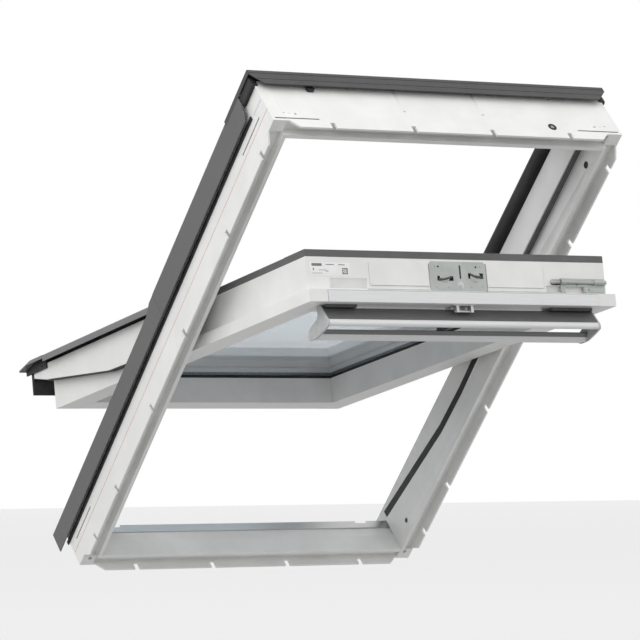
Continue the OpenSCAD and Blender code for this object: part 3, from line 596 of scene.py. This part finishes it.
def domed_plate(profile, x0, x1, edge, steps=5):
    """The profile at x0, then rings drawn in towards its middle by edge * (1 - cos t) as x rises by sin t."""
    p = smooth_loop(profile + np.array([0, BAR_Z]), 4)
    middle = p.mean(0)
    size = np.abs(p - middle).max()
    t = np.linspace(0, np.pi / 2, steps)
    shrink = np.concatenate([[1.0, 1.0], 1 - edge * (1 - np.cos(t[1:])) / size])
    x = np.concatenate([[x0], x1 - edge + edge * np.sin(t)])
    rings = middle + shrink[:, None, None] * (p - middle)
    return skin(np.concatenate([np.broadcast_to(x[:, None, None], rings.shape[:2] + (1,)), rings], -1))


pair("bar_end", [domed_plate(CAP, BAR_HALF, BAR_HALF + 4, 1.6)], FINISHES["grey_plastic"], "vent",
     "control_bar_cap")
print("bar ends", len(CAP), "outline points each")

# %% [markdown]
# ## Lock plate
# The lock in the middle of the end face has two dark claws, which catch the frame. A claw is a crescent: its
# middle line is a shallow arch, its section an ellipse that grows from a thin tip to a full back.

# %% Claws of the lock
def claw(x0, y0, x1, y1, bow, thick_end, room):
    """Middle line: straight from start to end plus bow * sin(pi t); section radii grow with t towards the back.
    The depths are then fitted evenly into the room that the plate's slot leaves."""
    t = np.linspace(0, 1, 15)[:, None]
    a = np.linspace(0, 2 * np.pi, 16, endpoint=False)[None, :]
    full = 0.25 + 0.75 * np.sin(np.pi * np.clip(0.12 + 0.76 * (t if thick_end else 1 - t), 0, 1)) ** 0.6
    wide, tall = 4.9 * full * (0.65 + 0.35 * (t if thick_end else 1 - t)), 2.0 * full
    x = x0 + (x1 - x0) * t + 0 * a
    y = y0 + (y1 - y0) * t + bow * np.sin(np.pi * t) + wide * np.cos(a)
    y = room[0] + (y - y.min()) / (y.max() - y.min()) * (room[1] - room[0])
    z = END_FACE + 3.6 + 0.4 * np.sin(np.pi * t) + tall * np.sin(a)
    return skin(np.stack([x, y, z], -1))


piece("claw_left", [claw(-48, 71.5, -17, 80.5, -3.5, False, (70, 78.5)),
      turned([4.1, 4.0, 3.4], [-14, 1.8, 2.2], (-40, 74.25, END_FACE))],
      FINISHES["dark_steel"], "latch", ["latch_hook_left"])
piece("claw_right", [claw(22, 85, 51, 74.5, -3.5, True, (75, 85)),
      turned([4.8, 4.7, 4.0], [-14, 1.8, 2.2], (43, 80, END_FACE))],
      FINISHES["dark_steel"], "latch", ["latch_hook_right"])
lock_discs = [turned([11, 11, 10.2, 0.3], [2.0, 2.3, 2.7, 2.8], (x, y, END_FACE)) for x, y in ((-33, 77), (35, 78))]
piece("claw_discs", lock_discs, FINISHES["zinc_steel"], "sash")
rivets = [turned([1.9, 1.8, 1.2, 0.2], [2.0, 2.5, 2.8, 2.9], (x, y, END_FACE), n=16)
          for x, y in ((-52, 58), (-26, 57), (25, 58), (50, 60), (-52, 98), (48, 98))]
piece("lock_rivets", rivets, FINISHES["zinc_steel"], "sash")
roller = turned([5.4, 5.5, 5.0, 3.2, 2.9, 1.7, 0.2], [1.0, 3.0, 3.9, 4.1, 4.8, 5.3, 5.4], (1, 61, END_FACE))
piece("lock_roller", [roller, turned([7.4, 7.4, 6.6], [1.9, 2.3, 2.5], (1, 61, END_FACE))], FINISHES["satin_aluminium"],
      "sash")
# Painted shade: a black strip inside the slit of the lock plate.
piece("lock_slit_painted_shade", [box_bar(0.4, 3.6, 74.2, 99.8, END_FACE + 0.5, END_FACE + 2.3)], FINISHES["rubber"],
      "sash")
print("lock: 2 claws,", len(rivets), "rivets")

# %% [markdown]
# ## Barrel bolt
# A round bolt at the right end of the top rail locks the sash when it is turned for cleaning. Its knob end is
# rounded. The strap and housing that hold it are softened nodes; a lining plate and two screws finish them.

# %% Bolt and its plates
knob = 4.1
along = [204, 204.4, 205.6, 207.4, 211, 212.6, 213.6, 214, 214.2, 330.4, 331.2, 331.5]
radii = [1.2, 2.6, 3.7, 4.05, knob, 4.0, 3.8, 3.6, 3.48, 3.48, 3.1, 2.4]
piece("bolt_rod_round", [turned(radii, along, (0, BOLT_Y, BOLT_Z), "yzx")], FINISHES["zinc_steel"],
      "bolt", ["bolt_rod"])
lining = [slab(9, 8, 1.4, 2.2, 2, 0.3, (233, 54, END_FACE)), slab(44, 10.4, 0.9, 1.8, 2, 0.3, (305, 57, END_FACE))]
piece("bolt_shadow", [slab(112, 11.5, 0.02, 0.3, 5, 0.05, (262, BOLT_Y, END_FACE))], FINISHES["dark_plastic"], "sash")
piece("bolt_lining", lining, FINISHES["zinc_steel"], "sash")


def screw_head(x, y, low, r=3.4, n=40, rings=12):
    """Dome minus a cross: height = dome (1 - (r/R)^2) less 0.9 mm where the point lies within the cross's arms."""
    s = np.linspace(0, 1, rings)[:, None] ** 0.8
    a = np.linspace(0, 2 * np.pi, n, endpoint=False)[None, :]
    rr = r * (1.0 - s * 0.97)
    u, v = rr * np.cos(a), rr * np.sin(a)
    arm = np.minimum(np.abs(u), np.abs(v)) < 0.14 * r
    h = 1.3 * (1 - (rr / r) ** 2) - 0.9 * (arm & (rr < 0.62 * r))
    top = np.stack([x + u, y + v, low + 0.35 + h + 0 * a], -1)
    foot = np.stack([x + r * np.cos(a[0]), y + r * np.sin(a[0]), 0 * a[0] + low - 0.8], -1)
    return skin(np.concatenate([foot[None], top]))


piece("bolt_screws", [screw_head(x, y, END_FACE + 1.3, 2.5) for x, y in ((266, 66), (292, 57))], FINISHES["zinc_steel"],
      "sash")
print("bolt drawn from", along[0], "to", along[-1], "mm")

# %% [markdown]
# ## End face of the top rail
# The moulded end face carries a plain data label at its left end, painted shade lines round each raised panel
# with a painted shadow strip beneath them, and a joint line where the corner blocks meet the rail. A white strip
# on the flap's face, behind the slot of the control bar, is painted light, so that the slot reads bright. The label
# is blank apart from bars and a block of dots that say nothing: a reusable part carries no wording.

# %% Label, painted shade lines, painted light and joint lines
piece("label_paper", [slab(86, 26, 0.0, 0.22, 1.2, 0.06, (-281, 87.5, END_FACE))], paper_white, "sash")
bars = [(-309.5, 96.2, 22, 5.2), (-281, 96.6, 18, 1.6), (-256, 96.6, 14, 1.6), (-317, 87.6, 2.4, 4.4),
        (-297, 86, 16, 0.9), (-288, 84, 6, 1.2), (-309, 80, 22, 0.8)]
marks = [slab(w, h, 0.15, 0.34, min(w, h) * 0.2, 0.04, (x, y, END_FACE), n=3) for x, y, w, h in bars]
col, row = np.meshgrid(np.arange(6), np.arange(6))
keep = (col % 2 == row % 2) | (row % 5 == 0) | (col % 5 == 0)
marks += [slab(1.9, 1.9, 0.15, 0.34, 0.3, 0.04, (-254.5 + 2 * c, 79.5 + 2 * r, END_FACE), n=3)
          for c, r in zip(col[keep], row[keep])]
piece("label_marks", marks, print_grey, "sash")
# Painted shade: thin grey lines along the panels' edges, and a wider painted shadow strip under them.
panel_shade_lines = [box_bar(x - 0.22, x + 0.22, 60, 103, END_FACE + 0.02, END_FACE + 0.3, 0.05) for x in (-198, 191)]
panel_shade_lines += [box_bar(a, b, 58.2, 58.7, END_FACE + 0.02, END_FACE + 0.3, 0.05) for a, b in ((-197, -69), (62, 190))]
panel_shade_lines += [box_bar(a, b, 46.4, 52.2, END_FACE + 0.02, END_FACE + 0.3, 0.05) for a, b in ((-203, -68), (62, 228))]
piece("panel_shadow_lines", panel_shade_lines, FINISHES["grey_plastic"], "sash")
# Painted light: a white strip on the flap's face where the slot of the bar shows, so the slot reads bright.
piece("flap_slot_painted_light", [box_bar(-297, 297, 21.65, 22.3, 1098, 1136)], FINISHES["body_lacquer"], "vent")
pair("corner_joint", [box_bar(301.05, 301.55, 22.6, 44, 1062, 1136, 0.05)], FINISHES["rubber"], "sash")
print("label with", len(marks), "marks")

# %% [markdown]
# A black seal lies under the sash's outer lip and follows the slanting step where the lower half seats. It is a
# small rounded section carried along that line, which falls steeply at the bottom and runs flat further up.

# %% Seal along the slanting step
def step_line(z):
    """Depth of the step: falls from 86 to 45 mm over the lowest 28 %, then eases to 43 and back to 47."""
    return np.interp(z, [0, 0.28 * HEIGHT, 0.3735 * HEIGHT, 545], [86, 45, 43, 47])


def seal_strip(x0, x1, rise, thick, stations):
    """Flat oval section from x0 to x1, carried along z at depth step(z) + rise."""
    a = np.linspace(0, 2 * np.pi, 16, endpoint=False)[None, :]
    z = np.asarray(stations, float)[:, None]
    bend = np.sign(np.cos(a)) * np.abs(np.cos(a)) ** 0.4
    x = (x0 + x1) / 2 + (x1 - x0) / 2 * bend + 0 * z
    y = step_line(z) + rise + thick / 2 * np.sign(np.sin(a)) * np.abs(np.sin(a)) ** 0.6
    return skin(np.stack([x, y, z + 0 * a], -1))


line = np.concatenate([np.linspace(44, 325, 8), np.linspace(332, 548, 10)])
pair("step_seal", [seal_strip(341.4, 357.4, 1.8, 2.0, line)], FINISHES["rubber"], "sash")
print("step seal", len(line), "stations")

# %% [markdown]
# ## Outer side faces
# Thin coloured lines are moulded into the outer faces as a guide for the fitter: a red one along the whole
# side and a short blue one near the top. Black strips inside the slots for the fixing brackets, and inside a
# slot on the upper face, are painted shade. A cup near the lower end of the sash takes the cover's clip.

# %% Guide lines and painted shade in the slots
pair("guide_line_red", [box_bar(389.15, 389.95, 33.08, 33.92, 2, 1176, 0.05)], line_red, "frame")
pair("guide_line_blue", [box_bar(389.15, 389.95, 64.28, 65.12, 1134, 1172.5, 0.05)], line_blue, "frame")
inner = [turned([7.4, 7.3, 6.6, 5.6, 5.3, 5.2, 0.3], [0.4, -0.35, -0.75, -0.7, -0.3, 0.5, 0.6],
                (354.5, 15.5, 1086), "yzx", 36)]
pair("lining_ring", inner, FINISHES["rubber"], "frame")
ribs = [box_bar(x - 0.8, x + 0.8, 45.98, 46.4, 656, 1127, 0.01) for x in (343, 347, 351)]
pair("seal_ribs", ribs, FINISHES["rubber"], "frame")
# Painted shade: black strips in the bracket slots, and in the slot on the upper face.
slots = [box_bar(387.1, 388.8, 46.6, 49.4, 28.5, 119.5), box_bar(387.1, 388.8, 44.6, 47.4, 1051.5, 1144.5)]
pair("bracket_slot_painted_shade", slots, FINISHES["rubber"], "frame")
pair("head_slot_painted_shade", [box_bar(289.5, 383.5, 5.8, 8.6, 1175.1, 1176.9)], FINISHES["rubber"], "frame")
pair("clip_cup", [turned([5.6, 5.6, 5.0, 4.4, 4.2, 0.3], [-1.5, -0.1, 0.35, 0.2, -0.9, -1.0],
                         (357.5, 105, 95), "yzx")], FINISHES["body_lacquer"], "sash")
print("guide lines and linings on both sides")

# %% [markdown]
# ## Upper face of the frame
# A dished cup with a screw in it sits towards the right, small plugs close the lower ends of two shallow
# channels, and little pins mark the fixing holes.

# %% Cup, plugs and pins
piece("head_cup", [turned([9.2, 9.2, 8.6, 6.4, 5.2, 4.9, 0.3], [-0.2, 0.25, 0.7, 0.75, 0.3, 0.12, 0.1],
                          (234, 15, HEIGHT), n=40)],
      FINISHES["rubber"], "frame")
piece("head_cup_screw", [screw_head(234, 15, HEIGHT + 0.1, 3.6)], FINISHES["zinc_steel"], "frame")
plugs = [turned([2.6, 2.6, 2.2, 0.2], [-1.2, -0.5, -0.3, -0.25], (x, 43, HEIGHT), n=18) for x in (-88, 88)]
plugs += [turned([1.4, 1.4, 1.1, 0.2], [-0.6, 0.1, 0.3, 0.35], (x, 21, HEIGHT), n=14) for x in (-348, 348)]
piece("head_plugs", plugs, FINISHES["grey_plastic"], "frame")
print("upper face fitted")

# %% [markdown]
# ## Cover latch
# At the top of each side cover a small rounded plate with a slot and a screw holds it down, and a dark block
# fills the gap under the end of the top cover. A small dark clip sits on the upper face under the top cover.

# %% Latch plates and dark blocks
latch_plate = [slab(40, 66, 398.9, 399.9, 11, 0.3, (0, 96, 1093), "yzx")]
# The latch plates take the lighter copy of the cover finish, painted light.
pair("cover_latch", latch_plate, cover_painted_light, "frame")
outline = [slab(u, v, 399.7, 399.98, 0.3, 0.05, (0, y, z), "yzx", 3)
           for u, v, y, z in ((13, 0.9, 112.5, 1065), (13, 0.9, 112.5, 1091), (0.9, 26, 106.4, 1078))]
pair("cover_latch_outline", outline, FINISHES["rubber"], "frame")
pair("cover_latch_screw", [turned([2.3, 2.3, 1.9, 0.2], [399.2, 399.85, 399.94, 399.97], (0, 110, 1069), "yzx", 18)],
     FINISHES["dark_steel"], "frame")
pair("cover_end_dark_block", [slab(24, 52, 384, 397.5, 4, 0.6, (0, 110, 1154), "yzx")], FINISHES["rubber"],
     "frame")
piece("head_clip", [box_bar(-283, -268, 87, 98, 1178.2, 1184, 0.4)], FINISHES["rubber"], "frame")
print("cover latches fitted")

# %% [markdown]
# ## Floor and light
# The window is shown on a plain pale ground, far enough below it that its underside turns softly grey. The
# ground is smooth, so at a low angle it mirrors the white room and reads almost white, while from above it is
# pale grey. A white room gives the even light, and one large soft lamp lifts the faces that look up and left.

# %% Floor
def make_floor():
    """One large square below the window."""
    me = bpy.data.meshes.new("floor")
    z, s = cad_box[0][2] - 1.2, 400.0
    me.from_pydata([(-s, -s, z), (s, -s, z), (s, s, z), (-s, s, z)], [], [(0, 1, 2, 3)])
    ob = bpy.data.objects.new("floor", me)
    bpy.context.collection.objects.link(ob)
    me.materials.append(finish("floor", (0.45, 0.45, 0.45), (0.47, 0.47, 0.47), (0.12, 0.125),
                               scales=(0.02, 1.0), bump=0.0))


make_floor()
world = bpy.data.worlds.new("studio")
bpy.context.scene.world = world
world.use_nodes = True
world.node_tree.nodes["Background"].inputs[0].default_value = (1, 1, 1, 1)
world.node_tree.nodes["Background"].inputs[1].default_value = 1.0
bpy.context.scene.view_settings.view_transform = "Standard"


def soft_lamp(name, at, towards, size, power):
    """A square area lamp whose -Z axis points from its place to the target."""
    lamp = bpy.data.lights.new(name, "AREA")
    lamp.size, lamp.energy = size, power
    ob = bpy.data.objects.new(name, lamp)
    bpy.context.collection.objects.link(ob)
    back = np.array(at, float) - np.array(towards, float)
    back /= np.linalg.norm(back)
    side = np.cross([0, 0, 1.0], back)
    side /= np.linalg.norm(side)
    m = np.eye(4)
    m[:3, 0], m[:3, 1], m[:3, 2], m[:3, 3] = side, np.cross(back, side), back, at
    ob.matrix_world = Matrix(m.tolist())


soft_lamp("lamp_upper_left", (-3.2, -1.6, 3.4), (0, -0.4, 0.4), 2.6, 60.0)
print("floor", round(cad_box[0][2] - 1.2, 2), "m, one soft lamp")
